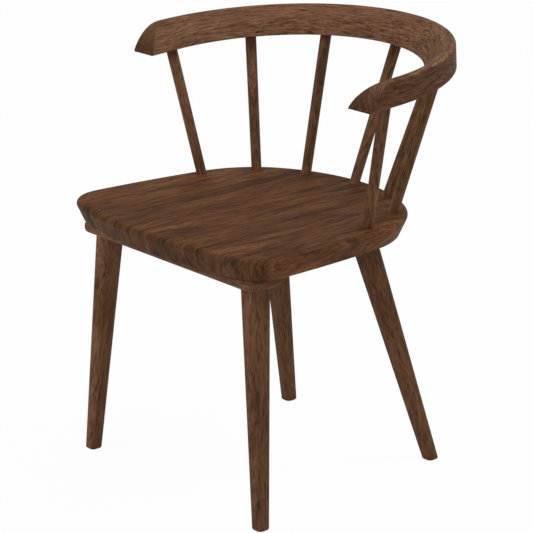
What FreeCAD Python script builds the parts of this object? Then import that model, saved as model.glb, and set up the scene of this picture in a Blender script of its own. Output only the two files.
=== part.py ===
"""Low bow-back dining armchair in solid walnut, as an assembly of its separate wooden pieces.

Frame: Z up, the sitter faces -Y, the chair is symmetric about X = 0, and the origin lies on the
floor under the middle of the chair's outline. Millimetres and degrees.

A D-shaped seat of four edge-glued boards lies on two cross battens. Four tapered legs stand under
the battens on round tenons that pass through the batten into the seat. Seven spindles stand in
the seat's rim and carry one bent bow, which is both the back rail and the two armrests.
"""
import FreeCAD
import Part

import math
import os

import Sketcher

Vector = FreeCAD.Vector
Placement = FreeCAD.Placement
Rotation = FreeCAD.Rotation

SIZES = [
    # seat
    ("seat_height", 450, "floor to the top of the seat"),
    ("seat_thickness", 38, "thickness of the seat boards"),
    ("seat_half_width", 250.5, "middle to the fullest point of each side"),
    ("seat_fullest_y", -205, "where the sides are fullest"),
    ("seat_front_y", -253.4, "front edge at the middle"),
    ("seat_back_y", 219, "back edge at the middle"),
    ("seat_front_radius", 868, "bowed front edge"),
    ("seat_front_corner_radius", 67, "front corners in plan"),
    ("seat_side_radius", 1900, "gently bowed sides"),
    ("seat_rear_corner_radius", 176, "rear corners in plan"),
    ("seat_back_radius", 290, "round back edge"),
    ("seat_slant_angle", 24.5, "lean of the edge, inwards under the seat"),
    ("seat_top_rounding", 7.5, "rounding of the upper edge"),
    ("seat_bottom_rounding", 3, "rounding of the lower edge"),
    ("seat_boards", 4, "boards glued edge to edge"),
    # battens under the seat
    ("batten_thickness", 19, "height of a batten"),
    ("batten_width", 76, "front to back"),
    ("batten_overhang", 33.5, "batten end beyond the middle of the leg"),
    ("batten_corner_radius", 20, "corners in plan"),
    ("batten_rounding", 8, "rounding of the upper and lower edges"),
    ("screw_margin", 40, "outermost screw inside the middle of the leg"),
    ("front_screws", 4, "screws through the front batten"),
    ("rear_screws", 2, "screws through the rear batten"),
    ("screw_length", 33, "whole length of a screw"),
    ("screw_diameter", 4.5, "shank"),
    ("screw_head_diameter", 9, "countersunk head"),
    # legs
    ("front_leg_inset_x", 61.7, "middle of a front leg at the batten, inside the seat's fullest point"),
    ("front_leg_inset_y", 77.1, "the same, behind the seat's front edge"),
    ("front_splay_x", 35.6, "front foot further out than the leg's top"),
    ("front_splay_y", 19.5, "front foot further forward than the leg's top"),
    ("rear_leg_inset_x", 134.5, "middle of a rear leg at the batten, inside the seat's fullest point"),
    ("rear_leg_inset_y", 103.3, "the same, in front of the seat's back edge"),
    ("rear_splay_x", 69, "rear foot further out than the leg's top"),
    ("rear_splay_y", 98.3, "rear foot further back than the leg's top"),
    ("leg_top_width", 39.6, "rounded square under the batten"),
    ("leg_top_corner", 12.5, "corner radius of that square"),
    ("foot_width", 24, "rounded square on the floor"),
    ("foot_corner", 8.5, "corner radius of that square"),
    ("foot_rounding", 3, "rounding of the foot's lower edge"),
    ("leg_tenon_diameter", 25, "round tenon on top of each leg"),
    ("leg_tenon_depth", 20, "how far the tenon goes into the seat"),
    # bow
    ("bow_radius", 245, "inner lower edge of the bow"),
    ("bow_width", 53, "underside, from inner to outer edge"),
    ("bow_height", 46.4, "height of the outer face up to where both faces would meet"),
    ("bow_face_radius", 72, "rounded inner face"),
    ("bow_ridge_rounding", 7, "rounded ridge along the top"),
    ("bow_inner_rounding", 1.5, "rounding of the inner lower edge"),
    ("bow_outer_rounding", 3, "rounding of the outer lower edge"),
    ("bow_setback", 201.6, "middle of the half circle, in front of the seat's back edge"),
    ("bow_rise", 215.5, "underside at that middle, above the seat"),
    ("bow_tilt_angle", 4.2, "rise of the bow towards the back"),
    ("arm_length", 57, "straight part of each arm"),
    ("nose_radius", 78, "round cut of the arm's end"),
    # spindles
    ("spindle_foot_diameter", 17.2, "at the seat"),
    ("spindle_top_diameter", 19.2, "at the bow"),
    ("spindle_chamfer", 1, "chamfer of both ends"),
    ("spindle_inset_side", 23, "side and corner spindles, inside the seat's fullest line"),
    ("spindle_inset_back", 18.7, "the three back spindles, inside the seat's fullest line"),
    ("spindle_foot_angle_side", 5.3, "direction of the side spindle's foot, from the bow's middle"),
    ("spindle_foot_angle_corner", 32.5, "direction of the corner spindle's foot"),
    ("spindle_foot_angle_back", 57.9, "direction of the back spindle's foot"),
    ("spindle_entry_side", 23.5, "middle of a side spindle outside the bow's inner edge"),
    ("spindle_entry_corner", 26, "the same for a corner spindle"),
    ("spindle_entry_back", 31, "the same for a back spindle"),
    ("spindle_entry_middle", 34, "the same for the middle spindle"),
    ("spindle_top_angle_corner", 32.2, "direction of the corner spindle's top, from the bow's middle"),
    ("spindle_top_angle_back", 60.1, "direction of the back spindle's top"),
    ("spindle_seat_depth", 25, "socket in the seat, along the spindle"),
    ("bow_cover", 3.5, "least wood left round a socket in the bow"),
    # fits
    ("glue_gap", 0.1, "room for glue all round a tenon"),
    ("socket_room", 1, "room below or above the end of a tenon"),
]

doc = FreeCAD.newDocument("bow_back_chair")
sheet = doc.addObject("Spreadsheet::Sheet", "Sizes")
for row, (alias, number, meaning) in enumerate(SIZES, start=1):
    sheet.set(f"A{row}", alias)
    sheet.set(f"B{row}", str(number))
    sheet.set(f"C{row}", meaning)
    sheet.setAlias(f"B{row}", alias)
doc.recompute()


def size(alias):
    """Value of one driving dimension."""
    return float(getattr(sheet, alias))


def plane(body, role):
    """One of the body's own origin planes."""
    return next(o for o in body.Origin.OriginFeatures if o.Role == role)


def new_sketch(body, name, role="XY_Plane", offset=Vector(0, 0, 0)):
    """Sketch on an origin plane of its body, moved by offset in the plane's own directions."""
    sketch = body.newObject("Sketcher::SketchObject", name)
    sketch.AttachmentSupport = [(plane(body, role), "")]
    sketch.MapMode = "FlatFace"
    sketch.AttachmentOffset = Placement(offset, Rotation())
    return sketch


def dimension(sketch, kind, places, value, expression):
    """Dimensional constraint whose value follows the sheet."""
    index = sketch.addConstraint(Sketcher.Constraint(kind, *places, value))
    sketch.setExpression(f"Constraints[{index}]", expression)


def closed_by_tangents(sketch, first, count):
    """Join count curves, drawn in order, end to start without a corner."""
    for i in range(count):
        sketch.addConstraint(Sketcher.Constraint("Tangent", first + i, 2, first + (i + 1) % count, 1))


def arc(centre, radius, start_angle, end_angle):
    """Arc drawn counterclockwise between two angles in degrees."""
    circle = Part.Circle(Vector(centre[0], centre[1], 0), Vector(0, 0, 1), radius)
    return Part.ArcOfCircle(circle, math.radians(start_angle), math.radians(end_angle))


def rounded_rectangle(sketch, length, width, radius):
    """Rectangle with round corners about the sketch's origin. Each size is an expression."""
    long_half = value_of(length) / 2
    wide_half = value_of(width) / 2
    r = value_of(radius)
    x, y = long_half - r, wide_half - r
    for cx, cy, turn in ((x, y, 0), (-x, y, 90), (-x, -y, 180), (x, -y, 270)):
        corner = sketch.addGeometry(arc((cx, cy), r, turn, turn + 90))
        a = math.radians(turn + 90)
        start = Vector(cx + r * math.cos(a), cy + r * math.sin(a), 0)
        run = 2 * (x if turn in (0, 180) else y)
        end = start + Vector(-math.sin(a), math.cos(a), 0) * run
        sketch.addGeometry(Part.LineSegment(start, end))
        if corner:
            sketch.addConstraint(Sketcher.Constraint("Equal", 0, corner))
    closed_by_tangents(sketch, 0, 8)
    sketch.addConstraint(Sketcher.Constraint("Horizontal", 1))
    sketch.addConstraint(Sketcher.Constraint("Symmetric", 0, 3, 4, 3, -1, 1))
    dimension(sketch, "Radius", (0,), r, radius)
    dimension(sketch, "DistanceX", (2, 3, 0, 3), 2 * x, f"{length} - 2 * {radius}")
    dimension(sketch, "DistanceY", (4, 3, 2, 3), 2 * y, f"{width} - 2 * {radius}")


def value_of(expression):
    """Number that an expression of the form Sizes.alias stands for."""
    return size(expression.split(".")[1])


def along(start, end):
    """Placement whose Z axis runs from start to end."""
    return Placement(start, Rotation(Vector(0, 0, 1), end - start))


def primitive(kind, name, placement, **expressions):
    """Part primitive with its sizes bound to the sheet."""
    solid = doc.addObject(kind, name)
    for prop, expression in expressions.items():
        solid.setExpression(prop, str(expression))
    solid.Placement = placement
    return solid


def cut(label, blank, tools):
    """Blank with holes cut by the tools."""
    bundle = doc.addObject("Part::Compound", f"{label}_holes")
    bundle.Links = tools
    result = doc.addObject("Part::Cut", label)
    result.Base = blank
    result.Tool = bundle
    return result


# Heights and directions that several pieces share
seat_top = size("seat_height")
seat_bottom = seat_top - size("seat_thickness")
batten_bottom = seat_bottom - size("batten_thickness")
bow_middle_y = size("seat_back_y") - size("bow_setback")
bow_place = Placement(
    Vector(0, bow_middle_y, seat_top + size("bow_rise")),
    Rotation(Vector(1, 0, 0), size("bow_tilt_angle")),
)


def seat_arcs():
    """Right half of the seat's fullest line, front to back, as (centre, radius, start, end).

    Five arcs that touch without a corner: the bowed front, the front corner, the side, the rear
    corner and the round back. A corner's centre lies where it touches both its neighbours.
    """
    front_r, side_r, back_r = (size(f"seat_{n}_radius") for n in ("front", "side", "back"))
    near_r, far_r = size("seat_front_corner_radius"), size("seat_rear_corner_radius")
    front_c = (0, size("seat_front_y") + front_r)
    side_c = (size("seat_half_width") - side_r, size("seat_fullest_y"))
    back_c = (0, size("seat_back_y") - back_r)

    def touching(c1, d1, c2, d2, lower):
        """Point at distance d1 from c1 and d2 from c2, the lower or the upper of the two."""
        dx, dy = c2[0] - c1[0], c2[1] - c1[1]
        gap = math.hypot(dx, dy)
        reach = (d1 ** 2 - d2 ** 2 + gap ** 2) / (2 * gap)
        side = math.sqrt(d1 ** 2 - reach ** 2)
        points = [
            (c1[0] + (reach * dx + s * side * dy) / gap, c1[1] + (reach * dy - s * side * dx) / gap)
            for s in (1, -1)
        ]
        return (min if lower else max)(points, key=lambda p: p[1])

    near_c = touching(front_c, front_r - near_r, side_c, side_r - near_r, True)
    far_c = touching(back_c, back_r - far_r, side_c, side_r - far_r, False)

    def bearing(from_point, to_point):
        return math.degrees(math.atan2(to_point[1] - from_point[1], to_point[0] - from_point[0]))

    front_end = bearing(front_c, near_c)
    side_start = bearing(side_c, near_c)
    side_end = bearing(side_c, far_c)
    back_start = bearing(back_c, far_c)
    return [
        (front_c, front_r, -90, front_end),
        (near_c, near_r, front_end, side_start),
        (side_c, side_r, side_start, side_end),
        (far_c, far_r, side_end, back_start),
        (back_c, back_r, back_start, 90),
    ]


def rim_point(bearing, inset):
    """Point inside the seat's fullest line by inset, in a direction from the bow's middle."""
    ox, oy = 0, bow_middle_y
    ux, uy = math.cos(math.radians(bearing)), math.sin(math.radians(bearing))
    for (cx, cy), radius, start, end in seat_arcs():
        r = radius - inset
        b = ux * (cx - ox) + uy * (cy - oy)
        d = b * b - (cx - ox) ** 2 - (cy - oy) ** 2 + r * r
        if d < 0:
            continue
        reach = b + math.sqrt(d)
        x, y = ox + reach * ux, oy + reach * uy
        angle = math.degrees(math.atan2(y - cy, x - cx))
        if start - 1e-6 <= angle <= end + 1e-6:
            return Vector(x, y, 0)
    raise ValueError(f"no rim point at {bearing} degrees")


def face_centre():
    """Middle of the inner face's arc, in the bow's section, and that arc's radius.

    The arc runs from the inner lower edge to the height of the outer face and bulges inwards.
    """
    inner, outer = size("bow_radius"), size("bow_radius") + size("bow_width")
    height, radius = size("bow_height"), size("bow_face_radius")
    chord = math.hypot(outer - inner, height)
    back = math.sqrt(radius ** 2 - (chord / 2) ** 2)
    x = (inner + outer) / 2 + back * height / chord
    z = height / 2 - back * (outer - inner) / chord
    return x, z, radius


def spindle_lines():
    """Lower and upper tip of the seven spindles, left to right.

    Each leans outwards and stops in the bow where bow_cover is left between its inner edge and
    the inner face, or between its outer edge and the outer face, whichever comes first.
    """
    side_inset, back_inset = size("spindle_inset_side"), size("spindle_inset_back")
    right = [(rim_point(size("spindle_foot_angle_side"), side_inset), 0, "side")]
    for place, inset in (("corner", side_inset), ("back", back_inset)):
        foot = rim_point(size(f"spindle_foot_angle_{place}"), inset)
        right.append((foot, size(f"spindle_top_angle_{place}"), place))
    middle = (Vector(0, size("seat_back_y") - back_inset, 0), 90, "middle")
    left = [(Vector(-foot.x, foot.y, 0), 180 - turn, place) for foot, turn, place in right]
    x, z, radius = face_centre()
    lines = []
    for foot, turn, place in left + [middle] + right[::-1]:
        foot.z = seat_top
        entry_r = size("bow_radius") + size(f"spindle_entry_{place}")
        rod = size("spindle_top_diameter") / 2 + size("glue_gap")
        a = math.radians(turn)
        outward = Vector(math.cos(a), math.sin(a), 0)
        entry = bow_place.multVec(outward * entry_r)
        way = (entry - foot).normalize()
        local = bow_place.Rotation.inverted().multVec(way)
        under_face = z + math.sqrt(radius ** 2 - (entry_r - rod - x) ** 2)
        wall = size("bow_radius") + size("bow_width") - entry_r - rod
        cover = size("bow_cover")
        depth = min(under_face - cover, (wall - cover) * local.z / local.dot(outward))
        lines.append((foot - way * size("spindle_seat_depth"), entry + way * (depth / local.z)))
    return lines


def leg_middle(end):
    """Middle of the right leg at the batten, and the direction from it to the nearer seat edge."""
    x = size("seat_half_width") - size(f"{end}_leg_inset_x")
    inset = size(f"{end}_leg_inset_y")
    if end == "front":
        return x, size("seat_front_y") + inset, -1
    return x, size("seat_back_y") - inset, 1


def leg_lines():
    """Name, foot, shoulder and tenon tip of each leg, along its middle line."""
    lines = []
    for end in ("front", "rear"):
        x, y, outward = leg_middle(end)
        foot_x, foot_y = x + size(f"{end}_splay_x"), y + outward * size(f"{end}_splay_y")
        for side, sign in (("left", -1), ("right", 1)):
            foot = Vector(sign * foot_x, foot_y, 0)
            shoulder = Vector(sign * x, y, batten_bottom)
            climb = (seat_bottom + size("leg_tenon_depth") - batten_bottom) / batten_bottom
            tip = shoulder + (shoulder - foot) * climb
            lines.append((f"leg_{end}_{side}", foot, shoulder, tip))
    return lines


def screw_spots(end):
    """Places of the screws in one batten, evenly spread over its underside between the legs."""
    count = int(size(f"{end}_screws"))
    x, y, _ = leg_middle(end)
    reach = x - size("screw_margin")
    return [Vector(reach * (2 * i / (count - 1) - 1), y, batten_bottom) for i in range(count)]


def spindle(number, low_tip, high_tip):
    """Turned rod, thicker at the top, with a small chamfer at both ends."""
    body = doc.addObject("PartDesign::Body", f"spindle_{number}")
    length = (high_tip - low_tip).Length
    low_r, high_r = size("spindle_foot_diameter") / 2, size("spindle_top_diameter") / 2
    c = size("spindle_chamfer")
    corners = [(0, 0), (low_r - c, 0), (low_r, c), (high_r, length - c), (high_r - c, length), (0, length)]
    sketch = new_sketch(body, f"spindle_{number}_profile", "XZ_Plane")
    points = [Vector(x, z, 0) for x, z in corners]
    count = len(points)
    for i, point in enumerate(points):
        sketch.addGeometry(Part.LineSegment(point, points[(i + 1) % count]))
    for i in range(count):
        sketch.addConstraint(Sketcher.Constraint("Coincident", i, 2, (i + 1) % count, 1))
    sketch.addConstraint(Sketcher.Constraint("Coincident", 0, 1, -1, 1))
    for i in (0, 4):
        sketch.addConstraint(Sketcher.Constraint("Horizontal", i))
    sketch.addConstraint(Sketcher.Constraint("Vertical", 5))
    low, high, edge = "Sizes.spindle_foot_diameter", "Sizes.spindle_top_diameter", "Sizes.spindle_chamfer"
    dimension(sketch, "DistanceX", (-1, 1, 0, 2), low_r - c, f"{low} / 2 - {edge}")
    dimension(sketch, "DistanceX", (-1, 1, 1, 2), low_r, f"{low} / 2")
    dimension(sketch, "DistanceY", (-1, 1, 1, 2), c, edge)
    dimension(sketch, "DistanceX", (-1, 1, 2, 2), high_r, f"{high} / 2")
    dimension(sketch, "DistanceX", (-1, 1, 3, 2), high_r - c, f"{high} / 2 - {edge}")
    sketch.addConstraint(Sketcher.Constraint("DistanceY", -1, 1, 3, 2, length))
    dimension(sketch, "DistanceY", (2, 2, 3, 2), c, edge)
    rod = body.newObject("PartDesign::Revolution", f"spindle_{number}_turned")
    rod.Profile = sketch
    rod.ReferenceAxis = (sketch, ["V_Axis"])
    rod.Angle = 360
    body.Tip = rod
    body.Placement = along(low_tip, high_tip)
    return body


def spindle_socket(number, low_tip, high_tip):
    """Tapered drill for both sockets of a spindle, wider than it by the glue gap."""
    way = (high_tip - low_tip).normalize()
    room = size("socket_room")
    solid = primitive(
        "Part::Cone", f"spindle_{number}_drill", along(low_tip - way * room, high_tip),
        Radius1="Sizes.spindle_foot_diameter / 2 + Sizes.glue_gap",
        Radius2="Sizes.spindle_top_diameter / 2 + Sizes.glue_gap",
        Height=(high_tip - low_tip).Length + 2 * room,
    )
    return solid


def leg(name, foot, shoulder, tip):
    """Leg lofted from a small rounded square on the floor to a larger one under the batten."""
    low = doc.addObject("Sketcher::SketchObject", f"{name}_foot")
    rounded_rectangle(low, "Sizes.foot_width", "Sizes.foot_width", "Sizes.foot_corner")
    low.Placement = Placement(foot, Rotation())
    high = doc.addObject("Sketcher::SketchObject", f"{name}_top")
    rounded_rectangle(high, "Sizes.leg_top_width", "Sizes.leg_top_width", "Sizes.leg_top_corner")
    high.Placement = Placement(shoulder, Rotation())
    taper = doc.addObject("Part::Loft", f"{name}_taper")
    taper.Sections = [low, high]
    taper.Solid = True
    taper.Ruled = True
    doc.recompute()
    edge = size("foot_rounding")
    rounded = doc.addObject("Part::Fillet", f"{name}_rounded")
    rounded.Base = taper
    rounded.Edges = [(int(e[4:]), edge, edge) for e in edges_at(taper, lambda p: abs(p.z) < 1e-6)]
    way = shoulder - foot
    start = shoulder - way * (size("leg_top_width") / way.Length)
    tenon = primitive(
        "Part::Cylinder", f"{name}_tenon", along(start, tip),
        Radius="Sizes.leg_tenon_diameter / 2", Height=(tip - start).Length,
    )
    result = doc.addObject("Part::MultiFuse", name)
    result.Shapes = [rounded, tenon]
    return result


def edges_at(feature, test):
    """Names of the edges of a feature whose middle passes the test."""
    names = []
    for i, edge in enumerate(feature.Shape.Edges, start=1):
        middle = edge.valueAt((edge.FirstParameter + edge.LastParameter) / 2)
        if test(middle):
            names.append(f"Edge{i}")
    return names


def leg_drill(name, foot, shoulder, tip):
    """Drill for a leg's tenon, through the batten and into the seat."""
    way = (tip - shoulder).normalize()
    room = size("socket_room")
    start = shoulder - way * size("leg_tenon_diameter")
    solid = primitive(
        "Part::Cylinder", f"{name}_drill", along(start, tip),
        Radius="Sizes.leg_tenon_diameter / 2 + Sizes.glue_gap",
        Height=(tip - start).Length + room,
    )
    return solid


def screw_profile(name, gap):
    """Countersunk wood screw, head down, turned about its axis and grown by a gap."""
    head_r, shank_r = size("screw_head_diameter") / 2 + gap, size("screw_diameter") / 2 + gap
    length = size("screw_length") + gap
    head = head_r - shank_r
    tip = size("screw_diameter")
    corners = [(0, 0), (head_r, 0), (shank_r, head), (shank_r, length - tip), (0, length)]
    wire = Part.makePolygon([Vector(x, 0, z) for x, z in corners + corners[:1]])
    return Part.Face(wire).revolve(Vector(0, 0, 0), Vector(0, 0, 1), 360)


def screws(end, name, gap=0.0):
    """All screws of one batten as one object of separate solids."""
    one = screw_profile(name, gap)
    copies = []
    for spot in screw_spots(end):
        copy = one.copy()
        copy.Placement = Placement(spot, Rotation())
        copies.append(copy)
    group = doc.addObject("Part::Feature", name)
    group.Shape = Part.makeCompound(copies)
    return group


def batten(end, drills):
    """Cross batten under the seat with round corners, bored for two tenons and its screws."""
    name = f"{end}_batten"
    body = doc.addObject("PartDesign::Body", f"{name}_blank")
    outline = new_sketch(body, f"{name}_outline")
    y, r = size("batten_width"), size("batten_corner_radius")
    leg_x, leg_y, _ = leg_middle(end)
    long_half = leg_x + size("batten_overhang")
    for cx, cy, turn in (
        (long_half - r, y / 2 - r, 0), (r - long_half, y / 2 - r, 90),
        (r - long_half, r - y / 2, 180), (long_half - r, r - y / 2, 270),
    ):
        corner = outline.addGeometry(arc((cx, cy), r, turn, turn + 90))
        a = math.radians(turn + 90)
        start = Vector(cx + r * math.cos(a), cy + r * math.sin(a), 0)
        run = 2 * (long_half - r if turn in (0, 180) else y / 2 - r)
        outline.addGeometry(Part.LineSegment(start, start + Vector(-math.sin(a), math.cos(a), 0) * run))
        if corner:
            outline.addConstraint(Sketcher.Constraint("Equal", 0, corner))
    closed_by_tangents(outline, 0, 8)
    outline.addConstraint(Sketcher.Constraint("Horizontal", 1))
    outline.addConstraint(Sketcher.Constraint("Symmetric", 0, 3, 4, 3, -1, 1))
    dimension(outline, "Radius", (0,), r, "Sizes.batten_corner_radius")
    dimension(outline, "DistanceX", (2, 3, 0, 3), 2 * (long_half - r),
              f"2 * (Sizes.seat_half_width - Sizes.{end}_leg_inset_x"
              " + Sizes.batten_overhang - Sizes.batten_corner_radius)")
    dimension(outline, "DistanceY", (4, 3, 2, 3), y - 2 * r,
              "Sizes.batten_width - 2 * Sizes.batten_corner_radius")
    board = body.newObject("PartDesign::Pad", f"{name}_board")
    board.Profile = outline
    board.setExpression("Length", "Sizes.batten_thickness")
    body.Tip = board
    doc.recompute()
    rounded = body.newObject("PartDesign::Fillet", f"{name}_rounded")
    thick = size("batten_thickness")
    rounded.Base = (board, edges_at(board, lambda p: min(abs(p.z), abs(p.z - thick)) < 1e-6))
    rounded.setExpression("Radius", "Sizes.batten_rounding")
    body.Tip = rounded
    body.Placement = Placement(Vector(0, leg_y, batten_bottom), Rotation())
    return cut(name, body, drills)


def seat(drills):
    """Seat boards: one rounded blank with its sockets, sawn into equal boards."""
    body = doc.addObject("PartDesign::Body", "seat_blank")
    slant = math.radians(90 - size("seat_slant_angle"))
    rounding = size("seat_top_rounding")
    lip = rounding / math.tan(slant / 2) - rounding
    outline = new_sketch(body, "seat_outline", offset=Vector(0, 0, seat_top))
    right = [(c, r + lip, a, b) for c, r, a, b in seat_arcs()]
    front, near, side, far, back = right
    mirrored = [((-c[0], c[1]), r, 180 - b, 180 - a) for c, r, a, b in (far, side, near)]
    arcs = [
        (front[0], front[1], -180 - front[3], front[3]), near, side, far,
        (back[0], back[1], back[2], 180 - back[2]),
    ] + mirrored
    for centre, radius, start, end in arcs:
        outline.addGeometry(arc(centre, radius, start, end))
    closed_by_tangents(outline, 0, len(arcs))
    lip_text = "Sizes.seat_top_rounding * (1 / tan((90 - Sizes.seat_slant_angle) / 2 * 1 deg) - 1)"
    names = ["front", "front_corner", "side", "rear_corner", "back", "rear_corner", "side", "front_corner"]
    for i, name in enumerate(names):
        dimension(outline, "Radius", (i,), arcs[i][1], f"Sizes.seat_{name}_radius + {lip_text}")
    for i in (0, 4):
        outline.addConstraint(Sketcher.Constraint("PointOnObject", i, 3, -2))
    for kind, curve, value, expression in (
        ("DistanceY", 0, front[0][1], "Sizes.seat_front_y + Sizes.seat_front_radius"),
        ("DistanceY", 4, back[0][1], "Sizes.seat_back_y - Sizes.seat_back_radius"),
        ("DistanceX", 2, side[0][0], "Sizes.seat_half_width - Sizes.seat_side_radius"),
        ("DistanceY", 2, side[0][1], "Sizes.seat_fullest_y"),
    ):
        dimension(outline, kind, (-1, 1, curve, 3), value, expression)
    outline.addConstraint(Sketcher.Constraint("Symmetric", 2, 3, 6, 3, -2))
    board = body.newObject("PartDesign::Pad", "seat_board")
    board.Profile = outline
    board.Reversed = True
    board.setExpression("Length", "Sizes.seat_thickness")
    board.setExpression("TaperAngle", "-Sizes.seat_slant_angle")
    body.Tip = board
    doc.recompute()
    edge = body.newObject("PartDesign::Fillet", "seat_top_edge")
    edge.Base = (board, edges_at(board, lambda p: abs(p.z - seat_top) < 1e-6))
    edge.setExpression("Radius", "Sizes.seat_top_rounding")
    doc.recompute()
    under = body.newObject("PartDesign::Fillet", "seat_bottom_edge")
    under.Base = (edge, edges_at(edge, lambda p: abs(p.z - seat_bottom) < 1e-6))
    under.setExpression("Radius", "Sizes.seat_bottom_rounding")
    body.Tip = under
    bored = cut("seat_bored", body, drills)
    count = int(size("seat_boards"))
    width = f"2 * Sizes.seat_half_width / {count}"
    boards = []
    for i in range(count):
        place = Placement(Vector(-size("seat_half_width") + i * 2 * size("seat_half_width") / count,
                                 2 * size("seat_front_y"), 0), Rotation())
        box = primitive(
            "Part::Box", f"seat_saw_{i + 1}", place,
            Length=width, Width="2 * (Sizes.seat_back_y - Sizes.seat_front_y)",
            Height="2 * Sizes.seat_height",
        )
        piece = doc.addObject("Part::MultiCommon", f"seat_board_{i + 1}")
        piece.Shapes = [bored, box]
        boards.append(piece)
    return boards


def bow_section(sketch, mirror):
    """Flat underside, upright outer face, bulging inner face and a rounded ridge.

    Each of the three edges is rounded by an arc that touches both faces beside it.
    """
    inner, outer = size("bow_radius"), size("bow_radius") + size("bow_width")
    cx, cz, radius = face_centre()
    r_in, r_out, r_top = (size(f"bow_{n}_rounding") for n in ("inner", "outer", "ridge"))

    def on_face(x, z):
        reach = radius / math.hypot(x - cx, z - cz)
        return cx + (x - cx) * reach, cz + (z - cz) * reach

    def round_middle(centre, r, start, end):
        dx, dz = (start[0] + end[0]) / 2 - centre[0], (start[1] + end[1]) / 2 - centre[1]
        reach = r / math.hypot(dx, dz)
        return centre[0] + dx * reach, centre[1] + dz * reach

    low = (cx - math.sqrt((radius - r_in) ** 2 - (r_in - cz) ** 2), r_in)
    top = (outer - r_top, cz + math.sqrt((radius - r_top) ** 2 - (outer - r_top - cx) ** 2))
    side = (outer - r_out, r_out)
    points = [
        on_face(*low), (low[0], 0), (side[0], 0), (outer, side[1]), (outer, top[1]), on_face(*top),
    ]
    middles = {
        0: round_middle(low, r_in, points[0], points[1]),
        2: round_middle(side, r_out, points[2], points[3]),
        4: round_middle(top, r_top, points[4], points[5]),
        5: round_middle((cx, cz), radius, points[5], points[0]),
    }
    sign = -1 if mirror else 1

    def spot(point):
        return Vector(sign * point[0], point[1], 0)

    for i, point in enumerate(points):
        following = spot(points[(i + 1) % len(points)])
        if i in middles:
            sketch.addGeometry(Part.Arc(spot(point), spot(middles[i]), following))
        else:
            sketch.addGeometry(Part.LineSegment(spot(point), following))


def bow(drills):
    """Bow: half ring with two straight arms, whose ends are cut to a round nose."""
    body = doc.addObject("PartDesign::Body", "arm_bow_blank")
    section = new_sketch(body, "bow_section", "XZ_Plane")
    bow_section(section, False)
    ring = body.newObject("PartDesign::Revolution", "bow_ring")
    ring.Profile = section
    ring.ReferenceAxis = (section, ["V_Axis"])
    ring.Angle = 180
    body.Tip = ring
    doc.recompute()
    if ring.Shape.BoundBox.YMax < size("bow_radius"):
        ring.Reversed = True
    arm_section = new_sketch(body, "arm_section", "XZ_Plane")
    bow_section(arm_section, False)
    bow_section(arm_section, True)
    arms = body.newObject("PartDesign::Pad", "bow_arms")
    arms.Profile = arm_section
    arms.setExpression("Length", "Sizes.arm_length")
    body.Tip = arms
    doc.recompute()
    nose_r, height, length = size("nose_radius"), size("bow_height"), size("arm_length")
    drop = nose_r - height
    nose = new_sketch(body, "nose_outline", "YZ_Plane")
    centre_y = math.sqrt(nose_r ** 2 - drop ** 2) - length
    low = Vector(-length, 0, 0)
    high = Vector(centre_y, height, 0)
    angle = math.pi - (math.asin(drop / nose_r) + math.pi / 2) / 2
    middle = Vector(centre_y + nose_r * math.cos(angle), nose_r * math.sin(angle) - drop, 0)
    outside = Vector(-length - nose_r, height, 0)
    below = Vector(-length - nose_r, -height, 0)
    foot = Vector(-length, -height, 0)
    nose.addGeometry(Part.Arc(low, middle, high))
    path = [high, outside, below, foot, low]
    for a, b in zip(path, path[1:]):
        nose.addGeometry(Part.LineSegment(a, b))
    cutter = body.newObject("PartDesign::Pocket", "nose_cut")
    cutter.Profile = nose
    cutter.Type = "ThroughAll"
    cutter.Midplane = True
    body.Tip = cutter
    body.Placement = bow_place
    return cut("arm_bow", body, drills)


spindle_ends = spindle_lines()
sockets = [spindle_socket(i, *ends) for i, ends in enumerate(spindle_ends, start=1)]
legs = leg_lines()
leg_drills = {name: leg_drill(name, *points) for name, *points in legs}
screw_drills = {end: screws(end, f"{end}_screw_drill", size("glue_gap")) for end in ("front", "rear")}

parts = seat(sockets + list(leg_drills.values()) + list(screw_drills.values()))
for end in ("front", "rear"):
    bores = [drill for name, drill in leg_drills.items() if end in name]
    parts.append(batten(end, bores + [screw_drills[end]]))
    parts.append(screws(end, f"{end}_batten_screws"))
parts += [leg(name, *points) for name, *points in legs]
parts += [spindle(i, *ends) for i, ends in enumerate(spindle_ends, start=1)]
parts.append(bow(sockets))
doc.recompute()

# The origin goes under the middle of the outline: every piece moves back or forth by one amount.
box = FreeCAD.BoundBox()
for part in parts:
    box.add(part.Shape.optimalBoundingBox(False))
shift = Vector(0, -(box.YMin + box.YMax) / 2, 0)
for part in parts:
    part.Placement = Placement(part.Placement.Base + shift, part.Placement.Rotation)
doc.recompute()

for item in doc.Objects:
    if "Invalid" in item.State or "Error" in item.State:
        raise RuntimeError(f"{item.Name} failed: {item.State}")
for part in parts:
    if part.Shape.isNull() or not part.Shape.isValid() or not part.Shape.Solids:
        raise RuntimeError(f"{part.Label} has no valid solid")

os.makedirs("parts", exist_ok=True)
for part in parts:
    part.Shape.exportStep(f"parts/{part.Label}.step")
print(f"{len(parts)} sub-parts, {box.XLength:.1f} x {box.YLength:.1f} x {box.ZLength:.1f} mm")
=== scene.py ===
# %% [markdown]
# # A low bow-back dining armchair in oiled walnut
#
# The chair's shape comes finished from the CAD model: four seat boards, two battens, four legs,
# seven spindles and one bent bow. What is left for Blender is the wood. Walnut is never one brown:
# it has long dark streaks, fine open pores along the grain, and another tone on its end grain,
# wherever a board is cut across. Each piece of wood was sawn from a different place in the log, so
# no two pieces may repeat.

import math

import bpy
import numpy as np
from mathutils import Matrix, Vector


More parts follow.
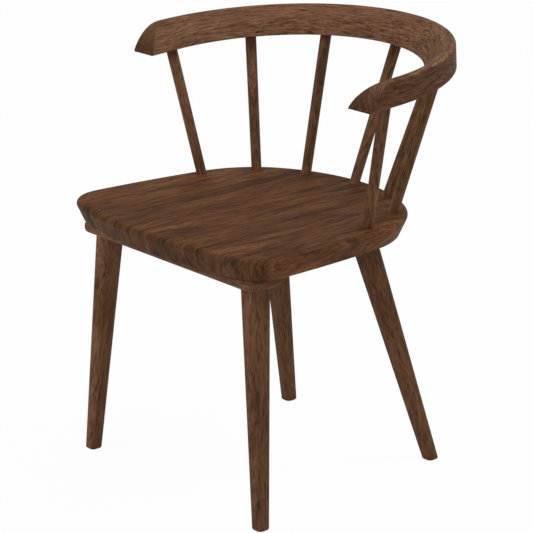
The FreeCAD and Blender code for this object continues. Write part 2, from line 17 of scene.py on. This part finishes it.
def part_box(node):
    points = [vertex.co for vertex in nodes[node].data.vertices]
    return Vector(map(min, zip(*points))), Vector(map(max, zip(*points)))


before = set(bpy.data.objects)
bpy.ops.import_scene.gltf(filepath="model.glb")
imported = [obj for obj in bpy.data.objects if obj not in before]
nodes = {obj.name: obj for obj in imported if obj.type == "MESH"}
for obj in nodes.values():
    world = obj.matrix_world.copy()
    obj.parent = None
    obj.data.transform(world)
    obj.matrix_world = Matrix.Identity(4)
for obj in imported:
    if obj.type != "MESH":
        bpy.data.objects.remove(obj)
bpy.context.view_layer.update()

# %% [markdown]
# ## Helpers for materials
#
# Colours are written as the hex values that a picture program shows. Blender calculates in linear
# light, so one function converts them. A second one adds a node, sets it up and links its inputs,
# so that a material reads as a list of steps. A third one puts a finished material on a piece of
# the CAD model, whose mesh stays as it is.

# %% Colour, node and material helpers


def linear(hex_colour):
    """sRGB hex colour as linear RGBA: c / 12.92 below 0.04045, else ((c + 0.055) / 1.055) ^ 2.4."""
    srgb = [int(hex_colour[i:i + 2], 16) / 255 for i in (1, 3, 5)]
    return [c / 12.92 if c <= 0.04045 else ((c + 0.055) / 1.055) ** 2.4 for c in srgb] + [1.0]


def add_node(tree, kind, settings=None, **inputs):
    """Node of a kind, with attribute settings, and inputs that are values or output sockets.

    An input's name has underscores for spaces, and a trailing number picks one of several
    sockets with the same name.
    """
    node = tree.nodes.new(kind)
    for name, value in (settings or {}).items():
        setattr(node, name, value)
    for name, value in inputs.items():
        label = name.replace("_", " ")
        sockets = [s for s in node.inputs if s.name == label and s.enabled]
        if not sockets and label[-1].isdigit():
            same = [s for s in node.inputs if s.name == label[:-2] and s.enabled]
            sockets = [same[int(label[-1])]]
        socket = sockets[0]
        if isinstance(value, bpy.types.NodeSocket):
            tree.links.new(value, socket)
        else:
            socket.default_value = value
    return node


def empty_material(name):
    """New material of a name, and its node tree with nothing in it."""
    material = bpy.data.materials.new(name)
    material.use_nodes = True
    material.node_tree.nodes.clear()
    return material, material.node_tree


def dress(node, material):
    """Gives a CAD node one material in each of its slots."""
    if not node.material_slots:
        node.data.materials.append(material)
    for holder in node.material_slots:
        holder.material = material


print("walnut brown #64442d in linear light:", [round(c, 3) for c in linear("#64442d")[:3]])

# %% [markdown]
# ## Which way the grain runs
#
# A board is a slice through growth rings, and its wood is made of long tubes that run along the
# trunk. So the wood here is a solid pattern in space, cut by the surface of each piece. An image
# wrapped round the piece could also do it, but it would show a seam at each edge, and its end
# grain would be wrong. The pattern's three directions differ: X goes across the rings, Y along a
# ring, and Z along the grain. For a straight piece, its own Object coordinates are turned until
# the grain lies along Z, and moved to the piece's place in the log.

# %% Grain of a straight piece


def straight_grain(axis, place, roll=0.0):
    """Object coordinates of a straight piece, turned so that its grain axis lies along Z.

    The second result is the cosine between the surface's normal and the grain, 1 on end grain.
    """
    axis = Vector(axis).normalized()
    turn = Matrix.Rotation(roll, 3, "Z") @ axis.rotation_difference(Vector((0, 0, 1))).to_matrix()

    def build(tree):
        here = add_node(tree, "ShaderNodeTexCoord")
        turned = add_node(tree, "ShaderNodeMapping", {"vector_type": "POINT"}, Vector=here.outputs["Object"],
                          Rotation=tuple(turn.to_euler()), Location=place)
        facing = add_node(tree, "ShaderNodeVectorMath", {"operation": "DOT_PRODUCT"},
                          Vector_0=here.outputs["Normal"], Vector_1=tuple(axis))
        end = add_node(tree, "ShaderNodeMath", {"operation": "ABSOLUTE"}, Value=facing.outputs["Value"])
        return turned.outputs[0], end.outputs[0]

    return build


def long_axis(node):
    """Direction in which a node's points spread most: first eigenvector of their covariance."""
    points = np.empty(len(node.data.vertices) * 3)
    node.data.vertices.foreach_get("co", points)
    points = points.reshape(-1, 3)
    values, vectors = np.linalg.eigh(np.cov((points - points.mean(axis=0)).T))
    return tuple(float(v) for v in vectors[:, -1])


leg_axis = long_axis(nodes["leg_front_left"])
print("a front leg leans by", round(math.degrees(math.acos(abs(leg_axis[2]))), 1), "degrees")

# %% [markdown]
# ## The sizes of the figure
#
# Noise that is stretched along Z gives streaks on a face sawn along the grain and short ticks on
# its end, by itself. The figure has four sizes, measured on the photograph: soft bands 20 to 40 mm
# wide, streaks of 4 to 6 mm, lines of 1.5 mm, and now and then one dark vein. Real pores are under
# half a millimetre wide. They are drawn about 1 mm wide, or the camera would lose them.

# %% Layers of the figure
# Each layer: stretch along the ring and along the grain, lumps per metre across, octaves, roughness
BANDS = ((0.35, 0.20), 34.0, 3.0, 0.6)
STREAKS = ((0.13, 0.06), 170.0, 3.0, 0.65)
LINES = ((0.20, 0.09), 450.0, 2.0, 0.7)
VEIN_COURSE = ((0.3, 0.06), 24.0, 1.0, 0.55)
PORES = ((1.0, 0.045), 900.0, 0.0, 0.55)


def layer(tree, place, stretch, per_metre, octaves, roughness, finer=1.0):
    """Noise with so many lumps per metre across, times finer, stretched along ring and grain."""
    shape = add_node(tree, "ShaderNodeMapping", {"vector_type": "POINT"}, Vector=place, Scale=(1.0,) + stretch)
    return add_node(tree, "ShaderNodeTexNoise", Vector=shape.outputs[0], Scale=per_metre * finer,
                    Detail=octaves, Roughness=roughness).outputs["Fac"]


for name, (stretch, per_metre, *_) in {"bands": BANDS, "streaks": STREAKS, "lines": LINES}.items():
    print(f"{name}: lumps {1000 / per_metre:.1f} mm wide and {1000 / per_metre / stretch[1]:.0f} mm long")

# %% [markdown]
# ## Oiled walnut
#
# The bands, streaks and lines are added up and spread over three browns. Veins, pores and end
# grain then multiply that colour, as oil and dirt do in the real wood. The seat's veins are the
# strongest, and the bow has hardly any. Oil leaves a low sheen, so the surface is fairly rough and
# reflects less than a varnish would.

# %% Oiled walnut
HALF_SPREAD = 0.115  # the sum of the layers stays mostly within 0.5 plus or minus this
VEIN_VALUE, VEIN_REACH = 0.47, 0.03  # the noise's value on a vein, and how far its dark edge goes
VEIN_SHADE, PORE_SHADE = "#948379", "#9f9189"


def walnut(name, grain, base, dark, light, end_grain_and_painted_shade_tint="#d2cac5", veins=0.6, fine=1.0, broad=0.36):
    """Oiled walnut whose grain function gives coordinates in metres, with Z along the grain.

    Colour = ramp(broad of bands, and of the rest 0.53 streaks and 0.47 lines), times veins, pores
    and end grain, whose tint also paints shade where the grain function marks it. The streaks and
    lines are as many times narrower as fine says.
    """
    material, tree = empty_material(name)
    position, end = grain(tree)

    # The heart line wanders: a slow noise pushes the whole pattern up to 60 mm across the rings
    slow = add_node(tree, "ShaderNodeMapping", {"vector_type": "POINT"}, Vector=position, Scale=(7, 5, 4))
    drift = add_node(tree, "ShaderNodeTexNoise", Vector=slow.outputs[0], Scale=1.0, Detail=1.0)
    pushed = add_node(tree, "ShaderNodeVectorMath", {"operation": "MULTIPLY_ADD"},
                      Vector_0=drift.outputs["Color"], Vector_1=(0.06, 0.02, 0.0), Vector_2=position).outputs[0]

    bands = layer(tree, pushed, *BANDS)
    streaks = layer(tree, pushed, *STREAKS, finer=fine)
    lines = layer(tree, pushed, *LINES, finer=fine)
    total = 0.0
    for value, weight in ((bands, broad), (streaks, 0.53 * (1 - broad)), (lines, 0.47 * (1 - broad))):
        total = add_node(tree, "ShaderNodeMath", {"operation": "MULTIPLY_ADD"},
                         Value_0=value, Value_1=weight, Value_2=total).outputs[0]
    spread = add_node(tree, "ShaderNodeMapRange", Value=total, From_Min=0.5 - HALF_SPREAD,
                      From_Max=0.5 + HALF_SPREAD)
    ramp = add_node(tree, "ShaderNodeValToRGB", Fac=spread.outputs[0])
    stops = ramp.color_ramp.elements
    stops[0].color, stops[1].color = linear(dark), linear(light)
    stops.new(0.5).color = linear(base)

    # A vein is a thin dark line where a slow noise passes its middle value
    off = add_node(tree, "ShaderNodeMath", {"operation": "SUBTRACT"},
                   Value_0=layer(tree, pushed, *VEIN_COURSE), Value_1=VEIN_VALUE)
    near = add_node(tree, "ShaderNodeMath", {"operation": "ABSOLUTE"}, Value=off.outputs[0])
    vein = add_node(tree, "ShaderNodeMapRange", Value=near.outputs[0], From_Min=0.0, From_Max=VEIN_REACH,
                    To_Min=veins, To_Max=0.0)
    # A pore is the deep end of a long thin noise
    pore = add_node(tree, "ShaderNodeMapRange", Value=layer(tree, pushed, *PORES), From_Min=0.62, From_Max=0.70)
    # End grain is darkened by this tint, and on the bow the same tint paints shade on the outer face
    end_grain_and_painted_shade = add_node(tree, "ShaderNodeMapRange", {"interpolation_type": "SMOOTHSTEP"}, Value=end,
                     From_Min=0.45, From_Max=0.95)
    colour = ramp.outputs[0]
    for amount, shade in ((vein, VEIN_SHADE), (pore, PORE_SHADE), (end_grain_and_painted_shade, end_grain_and_painted_shade_tint)):
        colour = add_node(tree, "ShaderNodeMix", {"data_type": "RGBA", "blend_type": "MULTIPLY"},
                          Factor=amount.outputs[0], A=colour, B=linear(shade)).outputs[2]

    # The low sheen of the oil is duller on the dark streaks, and the pores stay open
    gloss = add_node(tree, "ShaderNodeMapRange", Value=total, From_Min=0.34, From_Max=0.66,
                     To_Min=0.74, To_Max=0.64)
    relief = add_node(tree, "ShaderNodeMath", {"operation": "MULTIPLY_ADD"},
                      Value_0=pore.outputs[0], Value_1=-0.8, Value_2=lines)
    bump = add_node(tree, "ShaderNodeBump", Height=relief.outputs[0], Strength=0.15, Distance=0.0003)
    surface = add_node(tree, "ShaderNodeBsdfPrincipled", Base_Color=colour, Roughness=gloss.outputs[0],
                       IOR=1.45, Specular_IOR_Level=0.15, Normal=bump.outputs[0])
    add_node(tree, "ShaderNodeOutputMaterial", Surface=surface.outputs[0])
    return material


# %% [markdown]
# ## Seat boards
#
# The boards run front to back, with their rings standing nearly upright, so the front edge shows
# upright ticks. Each board lies at another place of the log, so the pattern breaks at every glue
# line, as it does on the real seat. Its end grain along the front edge is greyer than its top.

# %% Seat boards
seat_places = [(0.052, 0.043, 0.31), (0.21, 0.036, -0.55), (-0.13, 0.055, 1.27), (0.34, 0.048, -1.9)]
seat_tones = [("#643d1f", "#412512", "#80522e"), ("#5f391d", "#3e2211", "#794d2b"),
              ("#603a1e", "#3f2311", "#7b4f2d"), ("#653e22", "#402614", "#805333")]
for i, (place, tones) in enumerate(zip(seat_places, seat_tones), start=1):
    grain = straight_grain((0, 1, 0), place, roll=0.12 - 0.08 * i)
    dress(nodes[f"seat_board_{i}"], walnut(f"oiled_walnut_seat_{i}", grain, *tones, end_grain_and_painted_shade_tint="#e2eff9"))
print(len(seat_places), "seat boards, each from its own place in the log")

# %% [markdown]
# ## Legs, spindles and battens
#
# Their grain follows each piece's own length, so the long axis is measured from the mesh. Each one
# is turned about its own grain by another angle, as sticks split from a log are. Such thin wood is
# chosen straight and even, so its streaks are finer and its broad bands weaker than the seat's.
# One front leg's browns are painted lighter than the others', to make up for the shade on it.

# %% Legs, spindles and battens
rng = np.random.default_rng(11)
straight_names = sorted(n for n in nodes if n.startswith(("leg_", "spindle_")) or n.endswith("_batten"))
# The first key that is in a piece's name gives its browns: middle, dark and light
# The front left leg's lighter browns are painted light, to make up for the shade that falls on it
stick_tones_and_painted_light = {"leg_front_left": ("#6f4c34", "#563724", "#855e43"), "leg": ("#64442d", "#4d311f", "#79543a"),
               "spindle": ("#6b4a32", "#4f3322", "#866044"), "batten": ("#6f4d37", "#533826", "#866249")}
for name in straight_names:
    kind = next(k for k in stick_tones_and_painted_light if k in name)
    place = tuple(float(v) for v in rng.uniform(-2.0, 2.0, 3))
    grain = straight_grain(long_axis(nodes[name]), place, roll=float(rng.uniform(0.0, math.pi)))
    dress(nodes[name], walnut(f"oiled_walnut_{name}", grain, *stick_tones_and_painted_light[kind], end_grain_and_painted_shade_tint="#ece6e2",
                              veins=0.3, fine=1.8, broad=0.22))
print(len(straight_names), "straight pieces have their grain along their own length")

# %% [markdown]
# ## Grain of the bow
#
# The bow was bent, so its grain turns with it. Its coordinates are unrolled: the distance from the
# middle of the half circle is one, the height above the underside another, and the way along the
# bow, measured on its middle line, is the third. Along the straight arms it simply goes on. The
# outer face is darkened with the end grain's tint, as painted shade.

# %% Grain of the bow
BOW_INNER, BOW_WIDTH = 0.245, 0.053  # radius of the inner edge, and width of the underside
BOW_TILT, RING_TURN = math.radians(4.2), math.radians(35)  # rise towards the back; rings lie askew
# Painted shade on the bow's outer face: how strongly it is darkened
OUTER_FACE_PAINTED_SHADE = 0.82  # the outer face is darkened as a face that is turned this much to the grain
_, bow_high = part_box("arm_bow")
bow_line = BOW_INNER + BOW_WIDTH / 2
bow_middle_y = bow_high[1] - (BOW_INNER + BOW_WIDTH)
print("middle of the bow's half circle at y =", round(bow_middle_y, 4))


def bent_grain(tree):
    """(distance from the bow's middle, height, way along the bow) from Object coordinates."""
    here = add_node(tree, "ShaderNodeTexCoord")
    x, y, z = add_node(tree, "ShaderNodeSeparateXYZ", Vector=here.outputs["Object"]).outputs
    normal_x, normal_y, _ = add_node(tree, "ShaderNodeSeparateXYZ", Vector=here.outputs["Normal"]).outputs

    def calculate(operation, *values):
        names = {f"Value_{i}": value for i, value in enumerate(values)}
        return add_node(tree, "ShaderNodeMath", {"operation": operation}, **names).outputs[0]

    across = calculate("ABSOLUTE", x)
    behind = calculate("SUBTRACT", y, bow_middle_y)
    back = calculate("MAXIMUM", behind, 0.0)
    front = calculate("MINIMUM", behind, 0.0)
    distance = calculate("SQRT", calculate("MULTIPLY_ADD", across, across, calculate("MULTIPLY", back, back)))
    turn = calculate("ARCTAN2", back, across)
    way = calculate("MULTIPLY_ADD", turn, bow_line, front)
    side = calculate("SIGN", x)
    signed = calculate("MULTIPLY", calculate("SUBTRACT", bow_line * math.pi / 2, way), side)
    height = calculate("MULTIPLY_ADD", y, -math.tan(BOW_TILT), z)
    # Distance and height are turned about the grain, so that one goes over the rings
    c, s = math.cos(RING_TURN), math.sin(RING_TURN)
    over_rings = calculate("MULTIPLY_ADD", height, s, calculate("MULTIPLY", distance, c))
    along_rings = calculate("MULTIPLY_ADD", height, c, calculate("MULTIPLY", distance, -s))
    unrolled = add_node(tree, "ShaderNodeCombineXYZ", X=over_rings, Y=along_rings, Z=signed)
    # The grain points along the tangent (-sin turn, cos turn), mirrored on the left
    normal_side = calculate("MULTIPLY", normal_x, side)
    facing = calculate("SUBTRACT", calculate("MULTIPLY", normal_y, calculate("COSINE", turn)),
                       calculate("MULTIPLY", normal_side, calculate("SINE", turn)))
    # Painted shade: the more a face turns outward, the more it is darkened with the end grain's tint
    outward_painted_shade = calculate("MULTIPLY_ADD", normal_y, calculate("SINE", turn),
                        calculate("MULTIPLY", normal_side, calculate("COSINE", turn)))
    return unrolled.outputs[0], calculate("MAXIMUM", calculate("ABSOLUTE", facing),
                                          calculate("MULTIPLY", outward_painted_shade, OUTER_FACE_PAINTED_SHADE))


# %% [markdown]
# ## Wood of the bow
#
# Only straight and even wood bends without breaking, so the bow has the finest lines of all, the
# weakest bands and hardly any veins. It is a little paler than the rest.

# %% Bow
# The end grain's tint here also paints shade on the bow's outer face
dress(nodes["arm_bow"], walnut("oiled_walnut_bow", bent_grain, "#735038", "#4f3423", "#91694d",
                               end_grain_and_painted_shade_tint="#b8a99f", veins=0.2, fine=2.4, broad=0.14))
print("the bow's middle line is", round(bow_line * math.pi, 3), "m long round the half circle")

# %% [markdown]
# ## Screws
#
# The batten screws are zinc-plated steel. The plating is bright but slightly mottled, with grains
# about 1 mm wide. Only the screws' flat heads show, and only from below.

# %% Screws
plating, tree = empty_material("zinc_plated_steel")
position = add_node(tree, "ShaderNodeTexCoord").outputs["Object"]
mottle = add_node(tree, "ShaderNodeTexNoise", Vector=position, Scale=900.0, Detail=2.0)
tint = add_node(tree, "ShaderNodeValToRGB", Fac=mottle.outputs["Fac"])
tint.color_ramp.elements[0].color = linear("#9c9c9a")
tint.color_ramp.elements[1].color = linear("#c9cac6")
steel = add_node(tree, "ShaderNodeBsdfPrincipled", Base_Color=tint.outputs[0], Metallic=1.0, Roughness=0.34)
add_node(tree, "ShaderNodeOutputMaterial", Surface=steel.outputs[0])
for name in ("front_batten_screws", "rear_batten_screws"):
    dress(nodes[name], plating)
    print(name, "are plated steel")

# %% [markdown]
# ## Floor
#
# The chair was photographed on white with no visible floor. The floor here looks almost white
# to the camera and in reflections, and keeps a faint shadow. For all other light it is a plain
# pale grey sheet, so that it doesn't brighten the chair from below.

# %% Floor
FLOOR_HALF = 6.0  # metres from the middle to each side
FLOOR_GLOW = 0.96  # share of plain white in what the camera sees; the rest takes the shadow
floor_mesh = bpy.data.meshes.new("floor")
corners = [(x * FLOOR_HALF, y * FLOOR_HALF, 0) for x, y in ((-1, -1), (1, -1), (1, 1), (-1, 1))]
floor_mesh.from_pydata(corners, [], [(0, 1, 2, 3)])
floor = bpy.data.objects.new("floor", floor_mesh)
bpy.context.scene.collection.objects.link(floor)


def mix_shaders(tree, share, first, second):
    """Shader that is the first where share is 0 and the second where it is 1."""
    mixed = add_node(tree, "ShaderNodeMixShader", Fac=share)
    tree.links.new(first.outputs[0], mixed.inputs[1])
    tree.links.new(second.outputs[0], mixed.inputs[2])
    return mixed


paper, tree = empty_material("white_paper")
ray = add_node(tree, "ShaderNodeLightPath")
seen = ray.outputs["Is Camera Ray"]
for other in ("Is Glossy Ray", "Is Transmission Ray"):
    seen = add_node(tree, "ShaderNodeMath", {"operation": "MAXIMUM"}, Value_0=seen,
                    Value_1=ray.outputs[other]).outputs[0]
glow = add_node(tree, "ShaderNodeEmission", Color=(1, 1, 1, 1), Strength=1.0)
lit = add_node(tree, "ShaderNodeBsdfDiffuse", Color=linear("#fafafa"))
grey = add_node(tree, "ShaderNodeBsdfDiffuse", Color=linear("#e2e2e2"))
blend = mix_shaders(tree, seen, grey, mix_shaders(tree, FLOOR_GLOW, lit, glow))
add_node(tree, "ShaderNodeOutputMaterial", Surface=blend.outputs[0])
floor_mesh.materials.append(paper)
print("floor", 2 * FLOOR_HALF, "m wide,", round(100 * FLOOR_GLOW), "percent plain white to the camera")

# %% [markdown]
# ## World and lamps
#
# In the photograph the light is soft and comes from high up at the rear right, so the inside of
# the bow is the brightest part. A large square lamp stands there. A second, weaker one at the
# front left keeps the near faces readable, and the world, white to the camera, fills the rest.

# %% World and lamps
world = bpy.data.worlds.new("white_room")
bpy.context.scene.world = world
world.use_nodes = True
tree = world.node_tree
tree.nodes.clear()
ray = add_node(tree, "ShaderNodeLightPath")
ambient = add_node(tree, "ShaderNodeBackground", Color=(1, 1, 1, 1), Strength=0.62)
white = add_node(tree, "ShaderNodeBackground", Color=(1, 1, 1, 1), Strength=1.0)
room = mix_shaders(tree, ray.outputs["Is Camera Ray"], ambient, white)
add_node(tree, "ShaderNodeOutputWorld", Surface=room.outputs[0])


def soft_lamp(name, place, aim, width, power):
    """Square area lamp of a width in metres and a power in watts at a place, facing a point."""
    data = bpy.data.lights.new(name, "AREA")
    data.size = width
    data.energy = power
    lamp = bpy.data.objects.new(name, data)
    bpy.context.scene.collection.objects.link(lamp)
    lamp.location = place
    lamp.rotation_euler = (Vector(aim) - Vector(place)).to_track_quat("-Z", "Y").to_euler()
    print(name, "is", round((Vector(aim) - Vector(place)).length, 2), "m from what it lights")


above_seat = (0, 0, 0.5)
soft_lamp("key_lamp", (1.3, 1.35, 3.0), above_seat, 1.4, 34)
soft_lamp("fill_lamp", (-0.9, -3.0, 1.7), above_seat, 2.0, 28)

# %% [markdown]
# ## Camera
#
# The place, direction and focal length were worked out from the chair's own edges in the
# photograph: a long lens, some 3.7 metres away and a metre above the seat.

# %% Camera
PHOTO_WIDTH, FOCAL_PIXELS, SENSOR = 533, 2255.8, 36.0
azimuth, elevation = math.radians(49.966), math.radians(17.542)
camera_data = bpy.data.cameras.new("camera")
camera_data.sensor_width = SENSOR
camera_data.lens = FOCAL_PIXELS / PHOTO_WIDTH * SENSOR
camera_data.clip_end = 50.0
camera = bpy.data.objects.new("camera", camera_data)
bpy.context.scene.collection.objects.link(camera)
camera.location = (2.73555, -2.3238, 1.46945)
camera.rotation_euler = (math.pi / 2 - elevation, 0.0, azimuth)
bpy.context.scene.camera = camera
bpy.context.scene.view_settings.view_transform = "Standard"
print("lens of", round(camera_data.lens, 1), "mm,", round((camera.location - Vector(above_seat)).length, 2), "m away")
